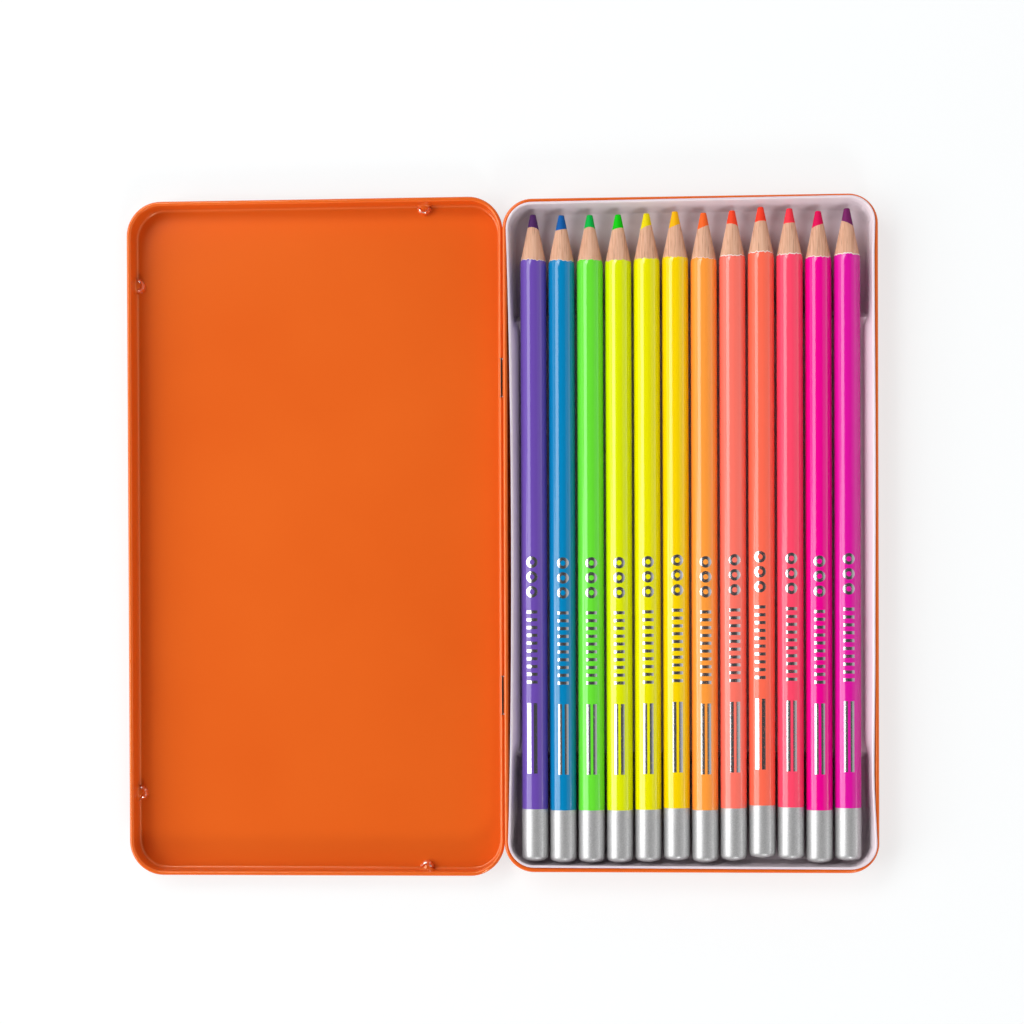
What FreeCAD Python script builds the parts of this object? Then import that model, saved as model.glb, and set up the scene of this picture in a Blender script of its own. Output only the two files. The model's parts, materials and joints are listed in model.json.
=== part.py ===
import FreeCAD, Part
import math
import os
from FreeCAD import Vector

# Hinged tin with a formed insert and a row of round colored pencils, lid open flat.
# Millimetres. Origin: middle of the base's underside. +X to the pencils' right, +Y to their tips, +Z up.

# Sheet metal
SHEET = 0.25
BASE_CORNER = 8.0
BASE_FOOT_BEND = 1.2
BASE_RIM_DIA = 1.1
LID_CLEAR = 0.2
LID_FOOT_BEND = 1.0
LID_CURL_DIA = 1.2
LID_HEADROOM = 2.75
BEND_SIDES = 2
ROLL_SIDES = 6

# Hinges
HINGE_OFFSET = 43.0
TONGUE_WIDTH = 10.0
TONGUE_TURN = 205.0
TONGUE_SIDE_GAP = 0.25
NOTCH_GAP = 0.2
WIRE_DIA = 0.6
WIRE_LENGTH = 26.0

# Stop dimples in the lid wall
DIMPLE_HEIGHT = 2.5
DIMPLE_WIDTH = 4.4
DIMPLE_TOP_SHARE = 0.4
DIMPLE_DEPTH = 1.9
DIMPLE_STOP_GAP = 0.15
DIMPLE_SIDES = 8
FRONT_DIMPLE_OFFSET = 68.7
END_DIMPLE_OFFSET = 29.7

# Insert tray
TRAY_SHEET = 0.3
TRAY_RIM_CLEAR = 0.2
TRAY_FLOOR_GAP = 0.05
TRAY_LIP_GAP = 0.03
TRAY_LIP_INSET = 1.0
TRAY_LIP_BOW = 0.3
TRAY_LIP_BEND = 0.25
TRAY_DRAFT = 4.0
TRAY_FOOT_BEND = 2.4
TRAY_SIDE_MARGIN = 2.9
BED_HALF_LENGTH = 58.5
BED_END_SLOPE = 25.0
RIDGE_DROP = 1.6
PENCIL_LIFT = 2.05
PENCIL_CLEAR = 0.15
REAR_GAP = 0.45
FRONT_GAP = 2.2
RIM_ABOVE_PENCILS = 0.25

# Pencils
PENCIL_LENGTH = 175.0
PENCIL_DIA = 7.1
PENCIL_SPACING = 0.57
GLUE = 0.02
CORE_DIA = 3.1
TIP_DIA = 1.6
CONE_HALF_ANGLE = 12.5
END_ROUND = 1.0
END_WALL = 1.5

# Each pencil: name, how far it lies towards the tips
PENCILS = [
    ("violet", 0.3),
    ("blue", 0.0),
    ("green", 0.0),
    ("lime", 0.0),
    ("lemon", 0.2),
    ("amber", 0.6),
    ("orange", 0.1),
    ("salmon", 0.6),
    ("coral", 1.4),
    ("rose", 0.9),
    ("magenta", 0.1),
    ("plum", 0.7),
]

# Row of pencils and the insert around it
pencil_r = PENCIL_DIA / 2
pitch = PENCIL_DIA + PENCIL_SPACING
row_half = (len(PENCILS) - 1) * pitch / 2 + pencil_r
well_floor = SHEET + TRAY_FLOOR_GAP + TRAY_SHEET
axis_z = well_floor + PENCIL_LIFT + pencil_r
ridge_z = axis_z - RIDGE_DROP
base_height = axis_z + pencil_r + RIM_ABOVE_PENCILS
lip_low = base_height + TRAY_LIP_GAP
lip_top = lip_low + TRAY_SHEET
draft_slope = math.tan(math.radians(TRAY_DRAFT))
draft_at_axis = (lip_top - axis_z) * draft_slope
pocket_x = row_half + TRAY_SIDE_MARGIN
pocket_y = (PENCIL_LENGTH + REAR_GAP + FRONT_GAP) / 2 + draft_at_axis
row_rear = REAR_GAP + draft_at_axis - pocket_y

# Base around the insert, lid around the base
pocket_to_edge = TRAY_SHEET + TRAY_RIM_CLEAR + BASE_RIM_DIA
base_x = pocket_x + pocket_to_edge
base_y = pocket_y + pocket_to_edge
pocket_corner = BASE_CORNER - pocket_to_edge
lid_x = base_x + LID_CLEAR
lid_y = base_y + LID_CLEAR
lid_corner = BASE_CORNER + LID_CLEAR
curl_r = LID_CURL_DIA / 2
curl_bore = curl_r - SHEET
hinge_x = -(lid_x + curl_r)
hinge_z = (base_height + LID_HEADROOM + SHEET) / 2
lid_middle = 2 * hinge_x
hinge_places = (HINGE_OFFSET, -HINGE_OFFSET)

UP = Vector(0, 0, 1)
ALONG = Vector(0, 1, 0)
ACROSS = Vector(1, 0, 0)


def on_circle(x, z, radius, degrees):
    turn = math.radians(degrees)
    return Vector(x + radius * math.cos(turn), 0, z + radius * math.sin(turn))


def section_arc(x, z, radius, start, end):
    middle = on_circle(x, z, radius, (start + end) / 2)
    return Part.Arc(on_circle(x, z, radius, start), middle, on_circle(x, z, radius, end)).toShape()


def bent(x, z, radius, start, end, flats):
    # A bend or roll in thin sheet as a run of short flats on its circle.
    step = (end - start) / flats
    return [on_circle(x, z, radius, start + step * index) for index in range(flats + 1)]


def closed_face(edges):
    return Part.Face(Part.Wire(Part.__sortEdges__(edges)))


def line(a, b):
    return Part.makeLine(a, b)


def polygon_face(points):
    return Part.Face(Part.makePolygon(points + points[:1]))


def one_solid(shape):
    return shape.removeSplitter().Solids[0]


def round_outline(half_x, half_y, radius, z):
    edges = []
    for turn in range(4):
        across, along = (half_x, half_y) if turn % 2 == 0 else (half_y, half_x)
        run = along - radius
        side = line(Vector(across, -run, z), Vector(across, run, z))
        corner = Part.makeCircle(radius, Vector(across - radius, run, z), UP, 0, 90)
        for edge in (side, corner):
            edge.rotate(Vector(), UP, 90 * turn)
            edges.append(edge)
    return Part.Wire(Part.__sortEdges__(edges))


def round_plate(half_x, half_y, radius, z, thickness):
    return Part.Face(round_outline(half_x, half_y, radius, z)).extrude(UP * thickness)


def swept_round(section, half_x, half_y, radius):
    # A section drawn at x = 0 on the outline runs round the four sides and corners.
    pieces = []
    for turn in range(4):
        across, along = (half_x, half_y) if turn % 2 == 0 else (half_y, half_x)
        run = along - radius
        side = section.translated(Vector(across, -run, 0)).extrude(ALONG * (2 * run))
        corner = section.translated(Vector(across, run, 0))
        corner = corner.revolve(Vector(across - radius, run, 0), UP, 90)
        for piece in (side, corner):
            piece.rotate(Vector(), UP, 90 * turn)
            pieces.append(piece)
    return pieces[0].multiFuse(pieces[1:])


def base_section():
    # Foot bend, wall, and the edge rolled inwards until it closes on the wall.
    rim_r = BASE_RIM_DIA / 2
    rim_z = base_height - rim_r
    foot = BASE_FOOT_BEND
    closes_at = 360 - math.degrees(math.acos((rim_r - SHEET) / rim_r))
    outside = bent(-foot, foot, foot, -90, 0, BEND_SIDES)
    roll = bent(-rim_r, rim_z, rim_r, 0, closes_at, ROLL_SIDES)
    inside = bent(-foot, foot, foot - SHEET, 0, -90, BEND_SIDES)
    return polygon_face(outside + roll + inside)


def hinge_tongue(middle_y):
    # Leg out of the back wall under the wire, then rolled over it from the far side.
    rolled_to = -90 - TONGUE_TURN
    root = Vector(-base_x + SHEET, 0, hinge_z - curl_r)
    rise = Vector(0, 0, SHEET)
    under = on_circle(hinge_x, hinge_z, curl_r, -90)
    section = closed_face([
        line(root, under),
        section_arc(hinge_x, hinge_z, curl_r, -90, rolled_to),
        line(on_circle(hinge_x, hinge_z, curl_r, rolled_to), on_circle(hinge_x, hinge_z, curl_bore, rolled_to)),
        section_arc(hinge_x, hinge_z, curl_bore, -90, rolled_to),
        line(under + rise, root + rise),
        line(root + rise, root),
    ])
    start = Vector(0, middle_y - TONGUE_WIDTH / 2, 0)
    return section.translated(start).extrude(ALONG * TONGUE_WIDTH)


def tongue_window(middle_y):
    # The hole that the tongue's metal came out of: as tall as the tongue is long.
    leg = LID_CLEAR + curl_r
    rolled = math.radians(TONGUE_TURN) * (curl_r - SHEET / 2)
    width = TONGUE_WIDTH + 2 * TONGUE_SIDE_GAP
    corner = Vector(-base_x - SHEET, middle_y - width / 2, hinge_z - curl_r)
    return Part.makeBox(3 * SHEET, width, leg + rolled, corner)


def base_tin():
    wall = swept_round(base_section(), base_x, base_y, BASE_CORNER)
    inset = BASE_FOOT_BEND
    floor = round_plate(base_x - inset, base_y - inset, BASE_CORNER - inset, 0, SHEET)
    tin = one_solid(wall.fuse(floor))
    for place in hinge_places:
        tin = tin.cut(tongue_window(place)).fuse(hinge_tongue(place))
    return one_solid(tin)


def lid_section():
    # Foot bend, wall, and the edge rolled outwards until it closes on the wall.
    bend = SHEET - LID_FOOT_BEND
    closes_at = -math.degrees(math.acos((SHEET - curl_r) / curl_r))
    outside = bent(bend, LID_FOOT_BEND, LID_FOOT_BEND, -90, 0, BEND_SIDES)
    curl = bent(curl_r, hinge_z, curl_r, closes_at, 180, ROLL_SIDES)
    inside = bent(bend, LID_FOOT_BEND, LID_FOOT_BEND - SHEET, 0, -90, BEND_SIDES)
    return polygon_face(outside + curl + inside)


def hinge_barrel():
    # Bore of the curl along the straight of the lid's back edge.
    run = lid_y - lid_corner
    return Part.makeCylinder(curl_bore, 2 * run, Vector(hinge_x, -run, hinge_z), ALONG)


def knuckle_notch(middle_y):
    reach = curl_r + NOTCH_GAP
    width = TONGUE_WIDTH + 2 * TONGUE_SIDE_GAP
    corner = Vector(hinge_x - reach, middle_y - width / 2, hinge_z - reach)
    return Part.makeBox(2 * reach, width, 2 * reach, corner)


def stop_dimples():
    # Wall point, and the way into the lid, of each dimple. Closed, they land just over the base's rim.
    height = 2 * hinge_z - base_height - DIMPLE_STOP_GAP - DIMPLE_HEIGHT / 2
    front = lid_middle - lid_x
    end_x = lid_middle + END_DIMPLE_OFFSET
    return [
        (Vector(front, FRONT_DIMPLE_OFFSET, height), ACROSS),
        (Vector(front, -FRONT_DIMPLE_OFFSET, height), ACROSS),
        (Vector(end_x, lid_y, height), ALONG * -1),
        (Vector(end_x, -lid_y, height), ALONG),
    ]


def pressed_bump(point, inward):
    # Blunt oval of a few flat sides, as a punch leaves it in sheet.
    sideways = inward.cross(UP)

    def ring(share, depth):
        corners = []
        for index in range(DIMPLE_SIDES):
            turn = 2 * math.pi * (index + 0.5) / DIMPLE_SIDES
            spread = sideways * (math.cos(turn) * DIMPLE_WIDTH) + UP * (math.sin(turn) * DIMPLE_HEIGHT)
            corners.append(point + inward * depth + spread * (share / 2))
        return corners

    foot = ring(1, 0)
    top = ring(DIMPLE_TOP_SHARE, DIMPLE_DEPTH)
    faces = [polygon_face(foot), polygon_face(top)]
    for index in range(DIMPLE_SIDES):
        faces.append(polygon_face([foot[index - 1], foot[index], top[index], top[index - 1]]))
    return Part.Solid(Part.Shell(faces))


def lid():
    wall = swept_round(lid_section(), lid_x, lid_y, lid_corner)
    inset = LID_FOOT_BEND - SHEET
    panel = round_plate(lid_x - inset, lid_y - inset, lid_corner - inset, 0, SHEET)
    tin = one_solid(wall.fuse(panel)).translated(Vector(lid_middle, 0, 0))
    for point, inward in stop_dimples():
        bump = pressed_bump(point, inward)
        dent = bump.translated(inward * -SHEET)
        tin = tin.fuse(bump).cut(dent)
    tin = tin.cut(hinge_barrel())
    for place in hinge_places:
        tin = tin.cut(knuckle_notch(place))
    return one_solid(tin)


def hinge_wire(middle_y):
    start = Vector(hinge_x, middle_y - WIRE_LENGTH / 2, hinge_z)
    return Part.makeCylinder(WIRE_DIA / 2, WIRE_LENGTH, start, ALONG)


def deep_pocket(grow):
    # Drafted pocket of the whole insert, bent at its foot and turned out at its mouth.
    foot = TRAY_FOOT_BEND + grow
    foot_z = well_floor - grow + foot
    bend_z = lip_top - TRAY_LIP_BEND
    inset = (lip_top - foot_z) * draft_slope - grow
    levels = bent(inset + foot, foot_z, foot, -90, -180, BEND_SIDES)
    levels.append(Vector(TRAY_LIP_BEND * draft_slope - grow, 0, bend_z))
    levels.append(Vector(-TRAY_LIP_BEND - grow, 0, lip_top))
    outlines = []
    for level in levels:
        outlines.append(round_outline(pocket_x - level.x, pocket_y - level.x, pocket_corner - level.x, level.z))
    return Part.makeLoft(outlines, True, True)


def pencil_x(index):
    return (index - (len(PENCILS) - 1) / 2) * pitch


def grooved_bed(shrink):
    # Raised bed across the insert with sloped ends and a groove under each pencil.
    top = ridge_z - shrink
    low = -well_floor
    slope = math.tan(math.radians(BED_END_SLOPE))
    half_top = BED_HALF_LENGTH - shrink / math.cos(math.radians(BED_END_SLOPE))
    half_low = half_top + (top - low) * slope
    reach = base_x
    outline = polygon_face([
        Vector(-reach, -half_low, low),
        Vector(-reach, half_low, low),
        Vector(-reach, half_top, top),
        Vector(-reach, -half_top, top),
    ])
    bed = outline.extrude(ACROSS * (2 * reach))
    grooves = []
    for index in range(len(PENCILS)):
        start = Vector(pencil_x(index), -base_y, axis_z)
        grooves.append(Part.makeCylinder(pencil_r + PENCIL_CLEAR + shrink, 2 * base_y, start, ALONG))
    return bed.cut(grooves)


def lip_outline():
    # Follows the rim, and draws in along the middle of the hinge side.
    half_x = base_x - TRAY_LIP_INSET
    half_y = base_y - TRAY_LIP_INSET
    radius = BASE_CORNER - TRAY_LIP_INSET
    outline = Part.Face(round_outline(half_x, half_y, radius, lip_low))
    run = half_y - radius
    bowed = Part.Wire([
        Part.Arc(Vector(-half_x, run, lip_low), Vector(TRAY_LIP_BOW - half_x, 0, lip_low),
                 Vector(-half_x, -run, lip_low)).toShape(),
        line(Vector(-half_x, -run, lip_low), Vector(-half_x, run, lip_low)),
    ])
    return outline.cut(Part.Face(bowed))


def insert_tray():
    sheet_under = deep_pocket(TRAY_SHEET).cut(grooved_bed(TRAY_SHEET))
    lip = lip_outline().extrude(UP * TRAY_SHEET)
    cavity = deep_pocket(0).cut(grooved_bed(0))
    return one_solid(sheet_under.fuse(lip).cut(cavity))


def revolved(points):
    # Points are (along, radius) from the pencil's rear end, on an axis through the origin along +Y.
    return polygon_face([Vector(r, y, 0) for y, r in points]).revolve(Vector(), ALONG, 360)


def pencil_pieces():
    # Casing with a sharpened front and a closed rear with a rounded edge, and the core in its bore.
    slope = math.tan(math.radians(CONE_HALF_ANGLE))
    tip_r = TIP_DIA / 2
    core_r = CORE_DIA / 2
    bore_r = core_r + GLUE
    core_rear = END_WALL + GLUE

    def cone_at(radius):
        return PENCIL_LENGTH - (radius - tip_r) / slope

    casing = revolved([
        (0, 0),
        (0, pencil_r - END_ROUND),
        (END_ROUND, pencil_r),
        (cone_at(pencil_r), pencil_r),
        (cone_at(bore_r), bore_r),
        (END_WALL, bore_r),
        (END_WALL, 0),
    ])
    core = revolved([
        (core_rear, 0),
        (core_rear, core_r),
        (cone_at(core_r), core_r),
        (PENCIL_LENGTH, tip_r),
        (PENCIL_LENGTH, 0),
    ])
    return {"casing": casing, "core": core}


def all_nodes():
    nodes = {
        "base_tin": base_tin(),
        "lid": lid(),
        "hinge_wire_upper": hinge_wire(HINGE_OFFSET),
        "hinge_wire_lower": hinge_wire(-HINGE_OFFSET),
        "insert_tray": insert_tray(),
    }
    for index, (name, shift) in enumerate(PENCILS):
        place = Vector(pencil_x(index), row_rear + shift, axis_z)
        for piece, shape in pencil_pieces().items():
            nodes[f"{name}_pencil_{piece}"] = shape.translated(place)
    return nodes


os.makedirs("parts", exist_ok=True)
for node, shape in all_nodes().items():
    solid = shape.Solids[0]
    print(node, len(shape.Solids), shape.isValid(), round(solid.Volume, 3))
    solid.exportStep(f"parts/{node}.step")
print("base", 2 * base_x, 2 * base_y, base_height, "hinge", hinge_x, hinge_z)
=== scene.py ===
import bmesh
import bpy
import json
import math
import random
from mathutils import Euler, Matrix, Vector


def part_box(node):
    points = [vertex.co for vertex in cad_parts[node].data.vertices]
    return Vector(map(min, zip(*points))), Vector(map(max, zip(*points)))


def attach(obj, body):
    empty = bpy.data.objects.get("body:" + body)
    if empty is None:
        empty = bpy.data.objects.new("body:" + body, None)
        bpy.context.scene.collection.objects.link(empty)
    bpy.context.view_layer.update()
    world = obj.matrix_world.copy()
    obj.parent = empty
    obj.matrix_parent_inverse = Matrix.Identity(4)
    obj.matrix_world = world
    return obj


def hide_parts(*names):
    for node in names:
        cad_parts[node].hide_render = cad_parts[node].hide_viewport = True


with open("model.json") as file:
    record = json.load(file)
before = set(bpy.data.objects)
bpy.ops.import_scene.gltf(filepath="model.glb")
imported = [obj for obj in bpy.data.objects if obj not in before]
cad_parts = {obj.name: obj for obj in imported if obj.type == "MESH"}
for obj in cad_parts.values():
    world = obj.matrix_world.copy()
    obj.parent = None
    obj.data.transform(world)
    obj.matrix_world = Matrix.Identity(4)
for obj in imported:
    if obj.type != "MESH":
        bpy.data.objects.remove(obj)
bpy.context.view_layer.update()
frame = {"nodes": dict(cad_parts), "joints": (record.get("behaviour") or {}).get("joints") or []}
nodes = frame["nodes"]
perMetre = 1000.0
black = (0, 0, 0, 1)
white = (1, 1, 1, 1)
print("stage: frame loaded,", len(nodes), "nodes")


# Shader values as Python expressions

class Wire:
    def __init__(self, tree, socket):
        self.tree = tree
        self.socket = socket

    def node(self, kind, settings=None, inputs=None, output=0):
        made = self.tree.nodes.new(kind)
        for key, value in (settings or {}).items():
            if key == "stops":
                self.setStops(made.color_ramp, value)
            else:
                setattr(made, key, value)
        for key, value in (inputs or {}).items():
            if isinstance(value, Wire):
                self.tree.links.new(value.socket, made.inputs[key])
            else:
                made.inputs[key].default_value = value
        return Wire(self.tree, made.outputs[output])

    def setStops(self, ramp, stops):
        while len(ramp.elements) < len(stops):
            ramp.elements.new(1.0)
        for element, (position, color) in zip(ramp.elements, stops):
            element.position = position
            element.color = color

    def math(self, operation, other=0.0):
        return self.node("ShaderNodeMath", {"operation": operation}, {0: self, 1: other})

    def __add__(self, other):
        return self.math("ADD", other)

    __radd__ = __add__

    def __sub__(self, other):
        return self.math("SUBTRACT", other)

    def __rsub__(self, other):
        return self.node("ShaderNodeMath", {"operation": "SUBTRACT"}, {0: other, 1: self})

    def __mul__(self, other):
        return self.math("MULTIPLY", other)

    __rmul__ = __mul__

    def __lt__(self, other):
        return self.math("LESS_THAN", other)

    def __gt__(self, other):
        return self.math("GREATER_THAN", other)


def linear(hexColor, factor=1.0):
    channels = []
    for index in (0, 2, 4):
        value = int(hexColor[index:index + 2], 16) / 255
        value = value / 12.92 if value <= 0.04045 else ((value + 0.055) / 1.055) ** 2.4
        channels.append(min(value * factor, 1.0))
    return (*channels, 1.0)


def blend(place, factor, first, second):
    inputs = {0: factor, 6: first, 7: second}
    return place.node("ShaderNodeMix", {"data_type": "RGBA"}, inputs, 2)


def ramp(value, low, high):
    # Black up to low, white from high on.
    stops = [(low, black), (high, white)]
    return value.node("ShaderNodeValToRGB", {"stops": stops}, {0: value})


def noise(place, scale, detail=3.0, stretch=(1, 1, 1), rough=0.5):
    # Scale counts features per millimetre.
    lengths = [value * perMetre for value in stretch]
    spot = place.node("ShaderNodeMapping", {}, {"Vector": place, "Scale": lengths})
    inputs = {"Vector": spot, "Scale": scale, "Detail": detail, "Roughness": rough}
    return spot.node("ShaderNodeTexNoise", {}, inputs)


def bump(place, height, strength, depth):
    inputs = {"Height": height, "Strength": strength, "Distance": depth / perMetre}
    return place.node("ShaderNodeBump", {}, inputs)


def tones(place, factor, finish):
    return blend(place, factor, linear(finish["deep"]), linear(finish["pale"]))


def shades(place, factor, finish, hexColor):
    return blend(place, factor, linear(hexColor, finish["dark"]), linear(hexColor, finish["light"]))


def roughness(value, finish):
    return finish["rough"] + finish["spread"] * value


def material(name, build):
    made = bpy.data.materials.new(name)
    made.use_nodes = True
    tree = made.node_tree
    shader = tree.nodes["Principled BSDF"]
    place = Wire(tree, tree.nodes.new("ShaderNodeTexCoord").outputs["Object"])
    for key, value in build(place).items():
        if isinstance(value, Wire):
            tree.links.new(value.socket, shader.inputs[key])
        else:
            shader.inputs[key].default_value = value
    return made


# Mesh helpers: shapes are drawn in millimetres

def addPiece(name, shape, body, surface, stands=(), sharp=40):
    bmesh.ops.scale(shape, vec=Vector((1, 1, 1)) / perMetre, verts=shape.verts)
    mesh = bpy.data.meshes.new(name)
    shape.to_mesh(mesh)
    shape.free()
    mesh.shade_smooth()
    mesh.set_sharp_from_angle(angle=math.radians(sharp))
    mesh.materials.append(surface)
    piece = bpy.data.objects.new(name, mesh)
    bpy.context.scene.collection.objects.link(piece)
    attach(piece, body)
    if stands:
        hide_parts(*stands)


def nodeBox(name):
    low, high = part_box(name)
    return low * perMetre, high * perMetre


def clamp(value, low, high):
    return max(low, min(high, value))


def eased(share):
    return share * share * (3 - 2 * share)


def arcPoints(centre, radius, start, end, steps):
    points = []
    for index in range(steps + 1):
        turn = math.radians(start + (end - start) * index / steps)
        points.append((centre[0] + radius * math.cos(turn), centre[1] + radius * math.sin(turn)))
    return points


def moveBy(shape, vec):
    bmesh.ops.translate(shape, vec=vec, verts=shape.verts)


def faceOutwards(shape):
    bmesh.ops.recalc_face_normals(shape, faces=shape.faces)


def boundary(shape):
    return [edge for edge in shape.edges if edge.is_boundary]


def newVerts(made):
    return [item for item in made if isinstance(item, bmesh.types.BMVert)]


def turned(profile, steps, closed):
    # Profile points are (along, radius); the axis runs along +Y through the origin.
    shape = bmesh.new()
    verts = [shape.verts.new((radius, along, 0)) for along, radius in profile]
    edges = [shape.edges.new(pair) for pair in zip(verts, verts[1:])]
    if closed:
        edges.append(shape.edges.new((verts[-1], verts[0])))
    bmesh.ops.spin(shape, geom=verts + edges, axis=(0, 1, 0), cent=(0, 0, 0), angle=2 * math.pi,
                   steps=steps, use_merge=True)
    bmesh.ops.remove_doubles(shape, verts=shape.verts, dist=1e-4)
    faceOutwards(shape)
    return shape


def roundPlate(halfX, halfY, radius, height, steps):
    shape = bmesh.new()
    bmesh.ops.create_grid(shape, x_segments=1, y_segments=1, size=1)
    bmesh.ops.scale(shape, vec=(halfX, halfY, 1), verts=shape.verts)
    moveBy(shape, (0, 0, height))
    bmesh.ops.bevel(shape, geom=shape.verts[:], offset=radius, offset_type="OFFSET", segments=steps,
                    profile=0.5, affect="VERTICES", material=-1)
    return shape


def sweepLoop(shape, edges, halfX, halfY, radius, section):
    # Extrudes a round-cornered loop through (outset, height) points from the outline.
    runX, runY = halfX - radius, halfY - radius
    for outset, height in section:
        made = bmesh.ops.extrude_edge_only(shape, edges=edges)["geom"]
        verts = set(newVerts(made))
        edges = [item for item in made
                 if isinstance(item, bmesh.types.BMEdge) and verts.issuperset(item.verts)]
        for vert in verts:
            inner = Vector((clamp(vert.co.x, -runX, runX), clamp(vert.co.y, -runY, runY)))
            outward = (vert.co.xy - inner).normalized()
            spot = inner + outward * (radius + outset)
            vert.co = (spot.x, spot.y, height)
    return edges


def cutAcross(shape, faces, axis, value):
    normal = Vector((0, 0, 0))
    normal[axis] = 1
    edges = {edge for face in faces for edge in face.edges}
    verts = {vert for face in faces for vert in face.verts}
    bmesh.ops.bisect_plane(shape, geom=list(faces) + list(edges) + list(verts), dist=1e-5,
                           plane_co=normal * value, plane_no=normal)


def dropFaces(shape, faces):
    bmesh.ops.delete(shape, geom=list(faces), context="FACES")


# Finishes: "deep" and "pale" are the colors that a finish wanders between, "spread" the rise in roughness

enamelFinish = {
    "deep": "dc5a17",
    "pale": "e6671f",
    "rough": 0.11,
    "spread": 0.08,
    "specular": 0.75,
    "sheen": (1.0, 0.82, 0.55, 1),
}


def enamelSurface(place):
    cloud = noise(place, 0.02, 2.0)
    peel = noise(place, 0.7, 2.0)
    grain = noise(place, 4.0, 2.0)
    return {
        "Base Color": tones(place, cloud, enamelFinish),
        "Roughness": roughness(grain, enamelFinish),
        "Specular IOR Level": enamelFinish["specular"],
        "Specular Tint": enamelFinish["sheen"],
        "Normal": bump(place, peel + 0.15 * grain, 0.12, 0.02),
    }


# Enamel stretched thin over the dimples, with pale metallic patches scattered at random as painted glints
pressedFinish = {
    "deep": "dc5516",
    "pale": "f6e4d8",
    "glintAbove": 0.56,
    "glintShare": 0.85,
    "rough": 0.08,
    "spread": 0.05,
    "specular": 0.9,
}


def pressedSurface(place):
    grain = noise(place, 4.0, 2.0)
    # Painted glints: random pale metallic patches that stand in for highlights on the dimples' creases
    glintPatch = (noise(place, 1.5, 1.0) > pressedFinish["glintAbove"]) * pressedFinish["glintShare"]
    return {
        "Base Color": tones(place, glintPatch, pressedFinish),
        "Metallic": glintPatch,
        "Roughness": roughness(grain, pressedFinish),
        "Specular IOR Level": pressedFinish["specular"],
        "Normal": bump(place, grain, 0.2, 0.02),
    }


# Both tones carry a pinkish-mauve tint that is painted reflection, standing in for colour bounced from the
# pencils onto the white plastic
insertFinish = {"deep": "ddcfd6", "pale": "e8dbe1", "rough": 0.17, "spread": 0.08}


def insertSurface(place):
    cloud = noise(place, 0.05, 2.0)
    grain = noise(place, 3.0, 3.0)
    return {
        "Base Color": tones(place, cloud, insertFinish),
        "Roughness": roughness(grain, insertFinish),
        "Normal": bump(place, grain, 0.1, 0.02),
    }


steelFinish = {"deep": "5a5450", "pale": "8f8982", "rough": 0.24, "spread": 0.2}


def steelSurface(place):
    drawn = noise(place, 6.0, 3.0, (1, 0.05, 1))
    return {
        "Base Color": tones(place, drawn, steelFinish),
        "Metallic": 1.0,
        "Roughness": roughness(drawn, steelFinish),
        "Normal": bump(place, drawn, 0.15, 0.01),
    }


woodFinish = {
    "deep": "c0896b",
    "pale": "dcaa8b",
    "fibre": "e8bda2",
    "fibreShare": 0.6,
    "pore": "8d5c40",
    "poreShare": 0.45,
    "rough": 0.62,
    "spread": 0.2,
    "specular": 0.3,
}


def woodSurface(place):
    # The grain runs along the pencil, so every noise is drawn out that way.
    streak = noise(place, 3.6, 3.0, (1, 0.02, 0.1), 0.6)
    ring = noise(place, 0.8, 2.0, (1, 0.02, 0.2))
    fibre = ramp(streak, 0.35, 0.62)
    pore = ramp(noise(place, 5.0, 1.0, (1, 0.03, 0.12)), 0.6, 0.68)
    tint = tones(place, ring, woodFinish)
    tint = blend(place, fibre * woodFinish["fibreShare"], tint, linear(woodFinish["fibre"]))
    tint = blend(place, pore * woodFinish["poreShare"], tint, linear(woodFinish["pore"]))
    return {
        "Base Color": tint,
        "Roughness": roughness(streak, woodFinish),
        "Specular IOR Level": woodFinish["specular"],
        "Normal": bump(place, streak - 0.4 * pore, 0.35, 0.04),
    }


primerFinish = {"deep": "e9dfd8", "pale": "f6f1ec", "rough": 0.5}


def primerSurface(place):
    return {
        "Base Color": tones(place, noise(place, 3.0), primerFinish),
        "Roughness": primerFinish["rough"],
    }


coreFinish = {"dark": 0.78, "light": 1.15, "rough": 0.48, "spread": 0.2, "specular": 0.15}


def coreSurface(hexColor):
    def build(place):
        crumb = noise(place, 5.0, 4.0)
        shave = noise(place, 2.0, 2.0, (1, 0.2, 1))
        return {
            "Base Color": shades(place, crumb, coreFinish, hexColor),
            "Roughness": roughness(crumb, coreFinish),
            "Specular IOR Level": coreFinish["specular"],
            "Normal": bump(place, crumb + shave, 0.3, 0.04),
        }
    return build


dipFinish = {
    "deep": "a8a8a8",
    "pale": "c9c9c9",
    "flakes": 9.0,  # per millimetre
    "metal": 0.55,
    "rough": 0.39,
    "spread": 0.1,
    "coat": 0.9,
    "coatRough": 0.08,
}


def dipSurface(place):
    inputs = {"Vector": place, "Scale": dipFinish["flakes"] * perMetre}
    flake = place.node("ShaderNodeTexVoronoi", {"feature": "F1"}, inputs, "Color")
    glint = flake.node("ShaderNodeSeparateColor", {}, {0: flake})
    cloud = noise(place, 0.3, 2.0)
    return {
        "Base Color": tones(place, glint, dipFinish),
        "Metallic": dipFinish["metal"],
        "Roughness": roughness(glint, dipFinish) + 0.05 * cloud,
        "Coat Weight": dipFinish["coat"],
        "Coat Roughness": dipFinish["coatRough"],
        "Normal": bump(place, glint, 0.08, 0.02),
    }


# Foil marks: plain rings, ticks and bars, in millimetres from the mark's front end towards the dip
foil = {
    "start": 92.0,
    "rings": {"from": 0.0, "to": 12.0, "pitch": 4.0, "radius": 1.55, "hole": 0.45},
    "ticks": {"from": 15.0, "to": 36.0, "pitch": 2.1, "length": 0.85, "halfWidth": 1.45},
    "bars": {"from": 40.0, "to": 59.0, "spread": 0.85, "halfWidth": 0.5},
    "color": "d8d8da",
    "wornBelow": 0.34,
}


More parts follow.
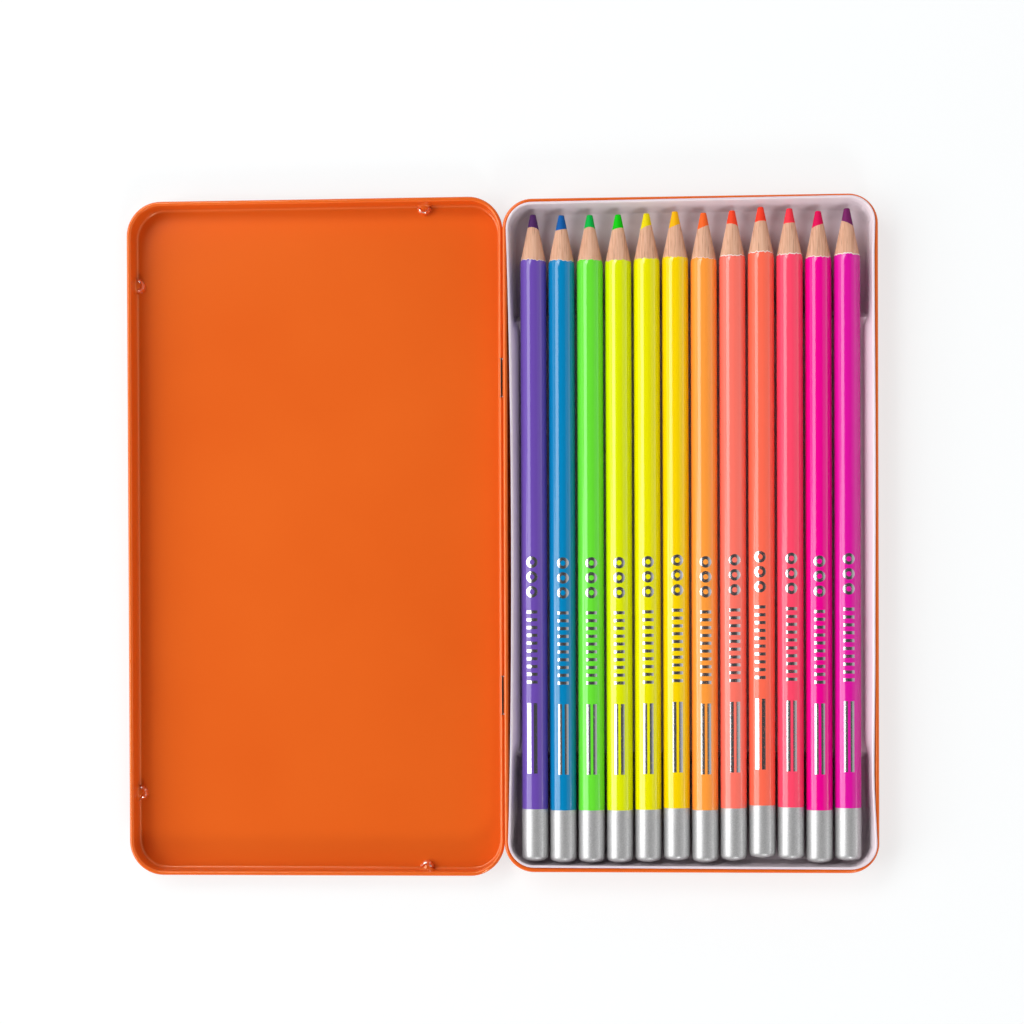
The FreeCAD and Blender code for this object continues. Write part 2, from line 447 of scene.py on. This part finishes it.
def foilMask(across, along):
    # Both in millimetres: across from the mark's middle line, along from its front end.
    def within(mark):
        return (along > mark["from"]) * (along < mark["to"])

    rings, ticks, bars = foil["rings"], foil["ticks"], foil["bars"]
    aside = across.math("ABSOLUTE")
    cell = along.math("MODULO", rings["pitch"]) - rings["pitch"] / 2
    reach = (cell * cell + across * across).math("SQRT")
    band = (reach < rings["radius"]) * (reach > rings["radius"] * rings["hole"])
    step = (along - ticks["from"]).math("MODULO", ticks["pitch"])
    tick = (step < ticks["length"]) * (aside < ticks["halfWidth"])
    bar = (aside - bars["spread"]).math("ABSOLUTE") < bars["halfWidth"]
    marks = within(rings) * band + within(ticks) * tick + within(bars) * bar
    return marks.math("MINIMUM", 1.0)


lacquerFinish = {"dark": 0.93, "light": 1.06, "rough": 0.07, "spread": 0.06, "specular": 0.55}


def lacquerSurface(hexColor, middle, front):
    def build(place):
        spot = place.node("ShaderNodeSeparateXYZ", {}, {0: place})
        along = Wire(place.tree, spot.socket.node.outputs["Y"])
        across = spot * perMetre - middle
        mask = foilMask(across, (front - foil["start"]) - along * perMetre)
        streak = noise(place, 0.8, 2.0, (1, 0.02, 1))
        speck = noise(place, 2.0, 2.0)
        kept = mask * (noise(place, 4.5, 3.0) > foil["wornBelow"])
        color = shades(place, streak, lacquerFinish, hexColor)
        return {
            "Base Color": blend(place, kept, color, linear(foil["color"])),
            "Metallic": kept,
            "Roughness": roughness(speck, lacquerFinish) + 0.1 * kept,
            "Specular IOR Level": lacquerFinish["specular"],
            "Normal": bump(place, streak + 0.3 * speck + 0.5 * kept, 0.08, 0.02),
        }
    return build


enamel = material("orangeEnamel", enamelSurface)
pressed = material("pressedEnamel", pressedSurface)
steel = material("hingeSteel", steelSurface)
insertWhite = material("insertWhite", insertSurface)
paleWood = material("paleWood", woodSurface)
primer = material("whitePrimer", primerSurface)
silverDip = material("silverDip", dipSurface)
print("stage: shared materials")


# Tin: the base, the lid and the two hinges

hinge = {
    "x": frame["joints"][0]["pos_m"][0] * perMetre,
    "z": frame["joints"][0]["pos_m"][2] * perMetre,
    "offset": 43.0,
    "width": 10.0,
    "turn": 176.0,
    "turnSteps": 24,
    "sideGap": 0.25,
    "notchReach": 0.8,
}
sheet = 0.25
baseLow, baseHigh = nodeBox("base_tin")
base = {
    "halfX": baseHigh.x,
    "halfY": baseHigh.y,
    "corner": 8.0,
    "cornerSteps": 14,
    "foot": 1.2,
    "footSteps": 6,
    "rim": 0.62,
    "rimSteps": 18,
    "height": 10.0,
    "windowTop": 8.4,
    "flat": 0.4,
}
lid = {
    "clear": 0.2,
    "cornerSteps": 14,
    "foot": 1.0,
    "footSteps": 8,
    "curl": 0.6,
    "curlSteps": 20,
    "flat": 0.4,
    "dimpleWidth": 4.4,
    "dimpleHeight": 2.5,
    "dimpleTopShare": 0.3,
    "dimpleDepth": 1.85,
    "dimpleZ": 1.6,
    "dimpleMargin": 1.2,
    "dimpleCuts": 8,
    "frontDimple": 69.9,
    "endDimple": 29.7,
    "bossReach": 2.6,
    "bossAlong": 2.1,
    "bossHeight": 2.25,
    "bossBack": 0.8,
    "bossSink": 0.1,
    "bossSteps": 48,
    "bossOutline": [
        (0.62, 0), (0.66, 0.22), (0.86, 0.42), (0.97, 0.6), (0.98, 0.72),
        (0.88, 0.86), (0.66, 0.96), (0.3, 1.0), (-0.4, 1.0), (-0.4, 0),
    ],
}
dimples = {
    "FrontUpper": (0, -1, lid["frontDimple"]),
    "FrontLower": (0, -1, -lid["frontDimple"]),
    "EndUpper": (1, 1, lid["endDimple"]),
    "EndLower": (1, -1, lid["endDimple"]),
}
lidX = base["halfX"] + lid["clear"]
lidY = base["halfY"] + lid["clear"]
lidCorner = base["corner"] + lid["clear"]
halfNotch = hinge["width"] / 2 + hinge["sideGap"]
hingePlaces = {"Upper": hinge["offset"], "Lower": -hinge["offset"]}


def openedTin(halfX, halfY, corner, steps, start, section):
    # Round-cornered underside, swept up, over and down to the inner floor.
    outset, height = start
    shape = roundPlate(halfX + outset, halfY + outset, corner + outset, height, steps)
    last = sweepLoop(shape, boundary(shape), halfX, halfY, corner, section)
    bmesh.ops.edgeloop_fill(shape, edges=last)
    faceOutwards(shape)
    return shape


def baseShape():
    foot, rim, steps = base["foot"], base["rim"], base["footSteps"]
    inner = -foot - base["flat"]
    closesAt = 360 - math.degrees(math.acos((rim - sheet) / rim))
    section = [(-foot, 0)]
    section += arcPoints((-foot, foot), foot, -90, 0, steps)[1:]
    section += arcPoints((-rim, base["height"] - rim), rim, 0, closesAt, base["rimSteps"])
    section += arcPoints((-foot, foot), foot - sheet, 0, -90, steps)
    section.append((inner, sheet))
    shape = openedTin(base["halfX"], base["halfY"], base["corner"], base["cornerSteps"],
                      (inner, 0), section)
    for place in hingePlaces.values():
        cutWindow(shape, place)
    return shape


def cutWindow(shape, place):
    # Hole in the back wall that the hinge tongue was bent out of.
    low, high = hinge["z"] - lid["curl"], base["windowTop"]
    behind = sheet * 1.2 - base["halfX"]
    run = base["halfY"] - base["corner"] + 0.1

    def backWall():
        return [face for face in shape.faces
                if all(vert.co.x < behind and abs(vert.co.y) < run for vert in face.verts)]

    for axis, value in ((1, place - halfNotch), (1, place + halfNotch), (2, low), (2, high)):
        cutAcross(shape, backWall(), axis, value)
    gone = []
    for face in backWall():
        centre = face.calc_center_median()
        if abs(centre.y - place) < halfNotch and low < centre.z < high:
            gone.append(face)
    dropFaces(shape, gone)
    bmesh.ops.bridge_loops(shape, edges=boundary(shape))


def lidShape():
    foot, curl, steps = lid["foot"], lid["curl"], lid["footSteps"]
    bend = sheet - foot
    inner = bend - lid["flat"]
    closesAt = -math.degrees(math.acos((sheet - curl) / curl))
    section = [(bend, 0)]
    section += arcPoints((bend, foot), foot, -90, 0, steps)[1:]
    section += arcPoints((curl, hinge["z"]), curl, closesAt, 180, lid["curlSteps"])
    section += arcPoints((bend, foot), foot - sheet, 0, -90, steps)
    section.append((inner, sheet))
    shape = openedTin(lidX, lidY, lidCorner, lid["cornerSteps"], (inner, 0), section)
    for place in hingePlaces.values():
        cutNotch(shape, place)
    for side, sign, along in dimples.values():
        pressDimple(shape, side, sign, along)
    moveBy(shape, (2 * hinge["x"], 0, 0))
    return shape


def cutNotch(shape, place):
    # Gap in the rolled edge for a hinge knuckle.
    low = hinge["z"] - hinge["notchReach"]
    ends = (place - halfNotch, place + halfNotch)
    behind, run = lidX - 0.05, lidY - lidCorner + 0.05

    def backEdge():
        return [face for face in shape.faces
                if all(vert.co.x > behind and abs(vert.co.y) < run for vert in face.verts)]

    def inside():
        return [face for face in backEdge() if abs(face.calc_center_median().y - place) < halfNotch]

    for end in ends:
        cutAcross(shape, backEdge(), 1, end)
    cutAcross(shape, inside(), 2, low)
    dropFaces(shape, [face for face in inside() if face.calc_center_median().z > low])
    for end in ends:
        rim = [edge for edge in boundary(shape)
               if all(abs(vert.co.y - end) < 1e-3 for vert in edge.verts)]
        bmesh.ops.contextual_create(shape, geom=rim)
    bmesh.ops.holes_fill(shape, edges=boundary(shape), sides=0)
    faceOutwards(shape)


def pressDimple(shape, side, sign, along):
    # Blunt oval pressed inwards through both skins of one wall.
    halfWidth, halfHeight = lid["dimpleWidth"] / 2, lid["dimpleHeight"] / 2
    margin, cuts = lid["dimpleMargin"], lid["dimpleCuts"]
    wall, tangent = (lidX, lidY)[side], 1 - side
    wide = halfWidth * margin

    def wallFaces(width):
        found = []
        for face in shape.faces:
            centre = face.calc_center_median()
            spots = [vert.co[tangent] for vert in face.verts]
            near = abs(centre[side] * sign - wall) < margin and centre.z < hinge["z"] - lid["curl"]
            if near and min(spots) < along + width and max(spots) > along - width:
                found.append(face)
        return found

    for index in range(-cuts, cuts + 1):
        cutAcross(shape, wallFaces(wide), tangent, along + index * wide / cuts)
    for index in range(1, 2 * cuts - 1):
        close = [face for face in wallFaces(halfWidth)
                 if abs(face.calc_center_median()[tangent] - along) < wide]
        cutAcross(shape, close, 2, lid["foot"] + index * halfHeight / cuts)
    shape.normal_update()
    moved = []
    for vert in {vert for face in wallFaces(halfWidth) for vert in face.verts}:
        away = math.hypot((vert.co[tangent] - along) / halfWidth, (vert.co.z - lid["dimpleZ"]) / halfHeight)
        share = eased(clamp((1 - away) / (1 - lid["dimpleTopShare"]), 0, 1))
        inner = vert.normal[side] * sign < 0
        depth = lid["dimpleDepth"] * share - (0 if inner else sheet)
        if share > 0 and wall - vert.co[side] * sign < depth:
            moved.append((vert, (wall - depth) * sign))
    for vert, value in moved:
        vert.co[side] = value


def bossShape(side, sign, along):
    # Rounded head of a dimple, where it meets the panel. The hollow behind it stays open.
    size = [lid["bossAlong"], lid["bossAlong"], lid["bossHeight"]]
    size[side] = lid["bossReach"]
    spot = Vector((along, along, sheet))
    spot[side] = (lidX, lidY)[side] * sign
    behind, down = Vector((0, 0, 0)), Vector((0, 0, -1))
    behind[side] = sign
    shape = turned(lid["bossOutline"], lid["bossSteps"], False)
    upright = Euler((math.pi / 2, 0, 0)).to_matrix()
    bmesh.ops.rotate(shape, cent=(0, 0, 0), matrix=upright, verts=shape.verts)
    bmesh.ops.scale(shape, vec=size, verts=shape.verts)
    moveBy(shape, spot)
    for normal, keep in ((behind, -lid["bossBack"]), (down, lid["bossSink"])):
        bmesh.ops.bisect_plane(shape, geom=shape.verts[:] + shape.edges[:] + shape.faces[:], dist=1e-5,
                               plane_co=spot + keep * normal, plane_no=normal, clear_outer=True)
        bmesh.ops.holes_fill(shape, edges=boundary(shape), sides=0)
    moveBy(shape, (2 * hinge["x"], 0, 0))
    faceOutwards(shape)
    return shape


def knuckleShape(place):
    # Tongue from the base's back wall, rolled round the hinge wire.
    radius = lid["curl"] - sheet / 2
    shape = bmesh.new()
    chain = [(sheet / 2 - base["halfX"], hinge["z"] - radius)]
    chain += arcPoints((hinge["x"], hinge["z"]), radius, -90, -90 - hinge["turn"], hinge["turnSteps"])
    verts = [shape.verts.new((x, place - hinge["width"] / 2, z)) for x, z in chain]
    edges = [shape.edges.new(pair) for pair in zip(verts, verts[1:])]
    made = bmesh.ops.extrude_edge_only(shape, edges=edges)["geom"]
    bmesh.ops.translate(shape, vec=(0, hinge["width"], 0), verts=newVerts(made))
    faceOutwards(shape)
    bmesh.ops.solidify(shape, geom=shape.faces[:], thickness=sheet)
    faceOutwards(shape)
    return shape


addPiece("baseShell", baseShape(), "base", enamel, ["base_tin"], 50)
addPiece("lidShell", lidShape(), "lid", enamel, ["lid"], 50)
for name, (side, sign, along) in dimples.items():
    addPiece("dimple" + name, bossShape(side, sign, along), "lid", pressed)
for name, place in hingePlaces.items():
    addPiece("hingeKnuckle" + name, knuckleShape(place), "base", enamel)
for name in ("hinge_wire_upper", "hinge_wire_lower"):
    nodes[name].data.materials.clear()
    nodes[name].data.materials.append(steel)
print("stage: tin")


# Formed insert: the solid's own form, edges softened as forming leaves them, thin walls drawn out of true.
# Draws are (place, amount) pairs along a wall, in from its straight line.

insert = {
    "edge": 0.16,
    "edgeSteps": 2,
    "bendFrom": 24,
    "cutEvery": 4.0,
    "wallFrom": 46.6,
    "bedEnd": 60.5,
    "bedFade": 5.0,
    "bedTop": 4.6,
    "hingeFoot": 2.4,
    "hingeBow": 1.1,
    "hingeRun": 82.0,
    "frontFoot": 1.7,
    "frontDraw": [(-92, -0.48), (-86, -0.45), (-64, 0.35), (-30, 0.0),
                  (20, -0.2), (75, 0.0), (84, -0.2), (92, -0.2)],
    "cornerFrom": 88.0,
    "endFrom": 64.0,
    "endFade": (40.0, 47.0),
    "lipFrom": 9.2,
    "lipBend": 0.3,
    "endWallFrom": 80.0,
    "farDraw": [(-60, 0.0), (24, 0.0), (46, -0.45), (60, -0.45)],
    "nearDraw": [(-60, 0.3), (30, 0.3), (46, 0.0), (60, 0.0)],
}


def smoothRun(points, value):
    for (low, first), (high, second) in zip(points, points[1:]):
        if low <= value <= high:
            return first + (second - first) * eased((value - low) / (high - low))
    return 0.0


def lipShare(spot, top):
    # None of it below the lip, all of it on the lip.
    return clamp((spot.z - insert["lipFrom"]) / (top - insert["lipBend"] - insert["lipFrom"]), 0, 1)


def sideDraw(spot, top):
    depth = clamp((top - spot.z) / (top - insert["bedTop"]), 0, 1)
    inBed = clamp((insert["bedEnd"] - abs(spot.y)) / insert["bedFade"], 0, 1)
    if spot.x < 0:
        bow = insert["hingeBow"] * max(0, 1 - (spot.y / insert["hingeRun"]) ** 2)
        foot = insert["hingeFoot"]
    else:
        bow = smoothRun(insert["frontDraw"], spot.y)
        bow = bow if bow > 0 else bow * lipShare(spot, top)
        foot = insert["frontFoot"]
    return bow + (foot - bow) * depth * inBed


def endDraw(spot, top):
    draw = insert["farDraw"] if spot.y > 0 else insert["nearDraw"]
    return smoothRun(draw, spot.x) * lipShare(spot, top)


def insertShape():
    shape = bmesh.new()
    shape.from_mesh(nodes["insert_tray"].data)
    bmesh.ops.scale(shape, vec=(perMetre, perMetre, perMetre), verts=shape.verts)
    bmesh.ops.remove_doubles(shape, verts=shape.verts, dist=1e-3)
    bmesh.ops.dissolve_limit(shape, angle_limit=math.radians(1), verts=shape.verts, edges=shape.edges)
    bent = [edge for edge in shape.edges if len(edge.link_faces) == 2
            and math.degrees(edge.calc_face_angle(0)) > insert["bendFrom"]]
    bmesh.ops.bevel(shape, geom=bent, offset=insert["edge"], offset_type="OFFSET",
                    segments=insert["edgeSteps"], profile=0.5, affect="EDGES", material=-1,
                    clamp_overlap=True)
    top = max(vert.co.z for vert in shape.verts)
    place = insert["cutEvery"] - insert["cornerFrom"]
    while place < insert["cornerFrom"]:
        cutAcross(shape, shape.faces[:], 1, place)
        place += insert["cutEvery"]
    cutAcross(shape, shape.faces[:], 2, insert["lipFrom"])
    fadeFrom, fadeTo = insert["endFade"]
    for vert in shape.verts:
        share = 1 if abs(vert.co.x) > insert["wallFrom"] else 0
        if abs(vert.co.y) > insert["endFrom"]:
            share = clamp((abs(vert.co.x) - fadeFrom) / (fadeTo - fadeFrom), 0, 1)
        vert.co.x -= share * sideDraw(vert.co, top) * math.copysign(1, vert.co.x)
        if abs(vert.co.y) > insert["endWallFrom"]:
            vert.co.y -= endDraw(vert.co, top) * math.copysign(1, vert.co.y)
    return shape


addPiece("formedInsert", insertShape(), "insert", insertWhite, ["insert_tray"], 60)
print("stage: insert")


# Pencils: colors of the barrel and the lead, how far the lead lies off its middle and towards which turn in
# degrees, the mark's shift to the side, the width of the primer that shows
pencilLooks = {
    "violet": ("6949a9", "4e2660", 0.12, -60, -0.4, 0.1),
    "blue": ("0080b7", "0a5aa4", 0.04, 190, 0.3, 0.1),
    "green": ("66dd33", "00b244", 0.13, -90, 0.3, 0.03),
    "lime": ("d9e400", "05c505", 0.07, 215, 0.1, 0.03),
    "lemon": ("e5e000", "e8d500", 0.17, 205, 0.2, 0.03),
    "amber": ("f5d000", "ffb400", 0.13, 180, 0.4, 0.03),
    "orange": ("ff9a3c", "ff6626", 0.14, 185, 0.3, 0.1),
    "salmon": ("ff7464", "ff4828", 0.09, -45, 0.4, 0.24),
    "coral": ("ff6a50", "ff4028", 0.05, 215, -0.5, 0.22),
    "rose": ("ff4868", "ff3848", 0.03, 190, 0.2, 0.24),
    "magenta": ("ea008f", "dc0854", 0.12, 185, 0.0, 0.2),
    "plum": ("d9109c", "752060", 0.16, 0, 0.1, 0.26),
}
pencil = {
    "steps": 120,
    "coneHalfAngle": 12.5,
    "shoulderBack": 0.65,
    "coat": 0.12,
    "skin": 0.03,  # the coat at its sharpened edge
    "coatLap": 0.08,
    "coatThins": 1.2,
    "ripple": 0.9,
    "primerRun": 2.0,
    "woodRun": 3.0,
    "woodRipple": 0.25,
    "leadProud": 0.1,
    "leadRun": 4.0,
    "tipRound": 0.18,
    "dipLength": 14.4,
    "dipLap": 1.0,
    "dipProud": 0.03,
    "dome": 0.52,
    "endRound": 1.3,
    "endTurn": 65,
}
waves = ((1, 0.8), (3, 0.7), (7, 0.5), (13, 0.55), (22, 0.6))  # counts round the pencil and their shares


def slide(shape, band, slope, offset):
    # Moves the vertices of a ring along the cone by offset(turn), in millimetres.
    for vert in shape.verts:
        if band[0] < vert.co.y < band[1]:
            radial = Vector((vert.co.x, 0, vert.co.z))
            shift = offset(math.degrees(math.atan2(vert.co.z, vert.co.x)))
            vert.co += radial.normalized() * (-shift * slope)
            vert.co.y += shift


def rippled(seed):
    # Wavy line that the sharpener leaves in the lacquer.
    rng = random.Random(seed)
    drawn = [(count, size * rng.uniform(0.6, 1.2), rng.uniform(0, 360)) for count, size in waves]
    reach = sum(size for count, size, phase in drawn)

    def offset(turn):
        total = sum(size * math.sin(math.radians(count * turn + phase)) for count, size, phase in drawn)
        return pencil["ripple"] * (0.5 + 0.5 * total / reach)
    return offset


def addPencil(name, look, seed):
    barrelColor, leadColor, lean, leanTurn, roll, primerWidth = look
    body = name + "_pencil"
    low, high = nodeBox(body + "_casing")
    coreLow, coreHigh = nodeBox(body + "_core")
    place = Vector(((low.x + high.x) / 2, low.y, (low.z + high.z) / 2))
    radius, coreRadius = (high.x - low.x) / 2, (coreHigh.x - coreLow.x) / 2
    length = coreHigh.y - low.y
    steep = math.tan(math.radians(pencil["coneHalfAngle"]))
    shoulder = high.y - low.y - (radius - coreRadius) / steep
    tipRadius = radius - (length - shoulder) * steep
    shoulder -= pencil["shoulderBack"]
    slope = (radius - tipRadius) / (length - shoulder)
    coat, skin, lap, dipEnd = pencil["coat"], pencil["skin"], pencil["coatLap"], pencil["dipLength"]
    ripple, grain = rippled(seed), rippled(seed + 100)

    def coneAt(wide):
        return shoulder + (radius - wide) / slope

    def put(piece, shape, slot, surface, stands=()):
        moveBy(shape, place)
        addPiece(name + piece, shape, body, surface, stands)

    coatFrom, coatEnd = dipEnd - pencil["dipLap"], shoulder + lap
    thins, onCone = shoulder - pencil["coatThins"], radius - lap * slope
    profile = [(coatFrom, radius - coat), (coatFrom, radius), (thins, radius), (shoulder, radius),
               (coatEnd, onCone), (coatEnd, onCone - skin), (thins, radius - coat)]
    shape = turned(profile, pencil["steps"], True)
    slide(shape, (shoulder + lap / 2, coatEnd + 1), slope, ripple)
    lacquer = lacquerSurface(barrelColor, place.x + roll, place.y + length)
    put("Lacquer", shape, name + "_lacquer", material(name + "Lacquer", lacquer), [body + "_casing"])

    primerFrom, primerEnd = shoulder - pencil["primerRun"], coatEnd + primerWidth
    onCone = radius - (primerEnd - shoulder) * slope
    profile = [(primerFrom, radius - 2.5 * coat), (primerFrom, radius - coat),
               (shoulder - 0.1, radius - 2 * skin),
               (primerEnd, onCone - skin / 2), (primerEnd, onCone - 2 * skin)]
    shape = turned(profile, pencil["steps"], True)
    slide(shape, (shoulder + lap / 2, primerEnd + 1), slope, ripple)
    put("Primer", shape, name + "_lacquer", primer)

    woodFrom, woodRadius = shoulder - pencil["woodRun"], coreRadius + pencil["leadProud"]
    edge = coneAt(woodRadius)
    profile = [(woodFrom, coreRadius - 0.6), (woodFrom, radius - 0.2), (shoulder - 0.1, radius - 3 * skin)]
    for share in (0.02, 0.25, 0.5, 0.75):
        along = (edge - shoulder) * share
        profile.append((shoulder + along, radius - 1.2 * skin - along * slope))
    profile += [(edge, woodRadius - 1.2 * skin), (edge - 0.2, woodRadius - 0.35)]

    def slant(turn):
        return pencil["woodRipple"] * grain(turn) - lean * math.cos(math.radians(turn - leanTurn)) / slope

    shape = turned(profile, pencil["steps"], True)
    slide(shape, (edge - 0.4, edge + 0.4), slope, slant)
    put("Wood", shape, "pale_wood", paleWood)

    widest = woodRadius + lean + 0.25
    start, blunt = coneAt(widest), pencil["tipRound"]
    leadFrom = start - pencil["leadRun"]
    profile = [(leadFrom, 0), (leadFrom, coreRadius - 0.5), (start, widest - 2 * skin),
               (length - blunt, tipRadius + blunt * slope - skin),
               (length - blunt * 0.3, tipRadius - blunt * 0.35), (length, tipRadius - blunt), (length, 0)]
    lead = material(name + "Lead", coreSurface(leadColor))
    put("Lead", turned(profile, pencil["steps"], False), name + "_core", lead, [body + "_core"])

    dome, corner, turn = pencil["dome"], pencil["endRound"], pencil["endTurn"]
    proud, inside = radius + pencil["dipProud"], radius - 2 * coat
    centre = (proud - corner, dome + corner * math.sin(math.radians(turn)))
    rim = arcPoints(centre, corner, -turn, 0, 9)
    profile = [(0, 0)] + [(dome * share * share, rim[0][0] * share) for share in (0.25, 0.5, 0.75)]
    profile += [(along, across) for across, along in rim]
    profile += [(dipEnd - 0.25, proud), (dipEnd - 0.08, proud - 0.012), (dipEnd, radius - skin),
                (dipEnd - 3, inside), (4, inside), (4, 0)]
    put("Dip", turned(profile, pencil["steps"], False), "silver_dip", silverDip)


for seed, (name, look) in enumerate(pencilLooks.items()):
    addPencil(name, look, seed)
print("stage: pencils")


# Stage, light and camera

stage = {
    "floorSize": 6.0,
    "floorGlow": 0.68,
    "floorTone": (0.875, 0.92, 0.93, 1),
    "sky": [(0.0, 1.0), (0.36, 0.9), (0.5, 0.35), (0.65, 0.14), (1.0, 0.05)],
    "skyBlue": 1.01,
}
lamps = {
    "keyBox": {"spot": (-1.34, 0.15, 1.486), "aim": (0, 0.15, 0), "size": (1.7, 1.0), "power": 23},
    "keyLow": {"spot": (-1.8, -0.5, 0.877), "aim": (0, -0.5, 0), "size": (1.25, 0.57), "power": 10.5,
               "roll": 15},
    "highCard": {"spot": (-0.45, 0.55, 0.9), "aim": (0, 0, 0), "size": (0.35, 0.4), "power": 2.9},
    "footCard": {"spot": (0.35, -1.3, 0.9), "aim": (0, 0, 0), "size": (0.3, 0.3), "power": 6},
    "fillCard": {"spot": (1.7, 0, 1.05), "aim": (0, 0, 0), "size": (2.4, 1.8), "power": 5.5},
    "edgeStrip": {"spot": (1.9, -0.55, 0.6), "aim": (0, -0.06, 0), "size": (0.7, 0.07), "power": 1.2},
}
view = {
    "lens": 77.22,
    "sensor": 36,
    "shift": (-0.0456, 0.1394),
    "near": 0.01,
    "spot": (0.00267, -0.02658, 0.6),
    "turn": (-0.543, 3.69, -0.21),
}


def addFloor():
    shape = bmesh.new()
    bmesh.ops.create_grid(shape, x_segments=1, y_segments=1, size=stage["floorSize"])
    mesh = bpy.data.meshes.new("floor")
    shape.to_mesh(mesh)
    shape.free()
    floor = bpy.data.objects.new("floor", mesh)
    bpy.context.scene.collection.objects.link(floor)
    mesh.materials.append(material("floorWhite", floorSurface))


def floorSurface(place):
    # Mostly plain white where it is looked at, so the shadow stays soft.
    path = place.node("ShaderNodeLightPath", {}, {}, "Is Camera Ray")
    rays = path.socket.node.outputs
    seen = path + Wire(place.tree, rays["Is Glossy Ray"]) + Wire(place.tree, rays["Is Transmission Ray"])
    share = seen.math("MINIMUM", 1.0) * stage["floorGlow"]
    return {
        "Base Color": blend(place, share, stage["floorTone"], black),
        "Emission Color": blend(place, share, black, white),
        "Emission Strength": 1.0,
        "Roughness": 0.9,
        "Specular IOR Level": 0.0,
    }


def addLight(name, spot, aim, size, power, roll=0):
    lamp = bpy.data.lights.new(name, "AREA")
    lamp.shape = "RECTANGLE"
    lamp.size, lamp.size_y = size
    lamp.energy = power
    holder = bpy.data.objects.new(name, lamp)
    holder.location = spot
    facing = (Vector(aim) - Vector(spot)).to_track_quat("-Z", "Y")
    holder.rotation_euler = (facing @ Euler((0, 0, math.radians(roll))).to_quaternion()).to_euler()
    bpy.context.scene.collection.objects.link(holder)


def addWorld():
    # Bright walls all round, dark overhead.
    world = bpy.data.worlds.new("studio")
    world.use_nodes = True
    tree = world.node_tree
    place = Wire(tree, tree.nodes.new("ShaderNodeTexCoord").outputs["Generated"])
    spot = place.node("ShaderNodeSeparateXYZ", {}, {0: place}, "Z")
    stops = [(position, (level, level, level * stage["skyBlue"], 1)) for position, level in stage["sky"]]
    sky = spot.node("ShaderNodeValToRGB", {"stops": stops}, {0: spot})
    tree.links.new(sky.socket, tree.nodes["Background"].inputs[0])
    bpy.context.scene.world = world


def addCamera():
    data = bpy.data.cameras.new("camera")
    data.lens = view["lens"]
    data.sensor_width = view["sensor"]
    data.shift_x, data.shift_y = view["shift"]
    data.clip_start = view["near"]
    camera = bpy.data.objects.new("camera", data)
    camera.location = view["spot"]
    camera.rotation_euler = Euler([math.radians(turn) for turn in view["turn"]])
    bpy.context.scene.collection.objects.link(camera)
    bpy.context.scene.camera = camera


addFloor()
for name, values in lamps.items():
    addLight(name, **values)
addWorld()
bpy.context.scene.view_settings.view_transform = "Standard"
addCamera()
print("stage: light and camera")
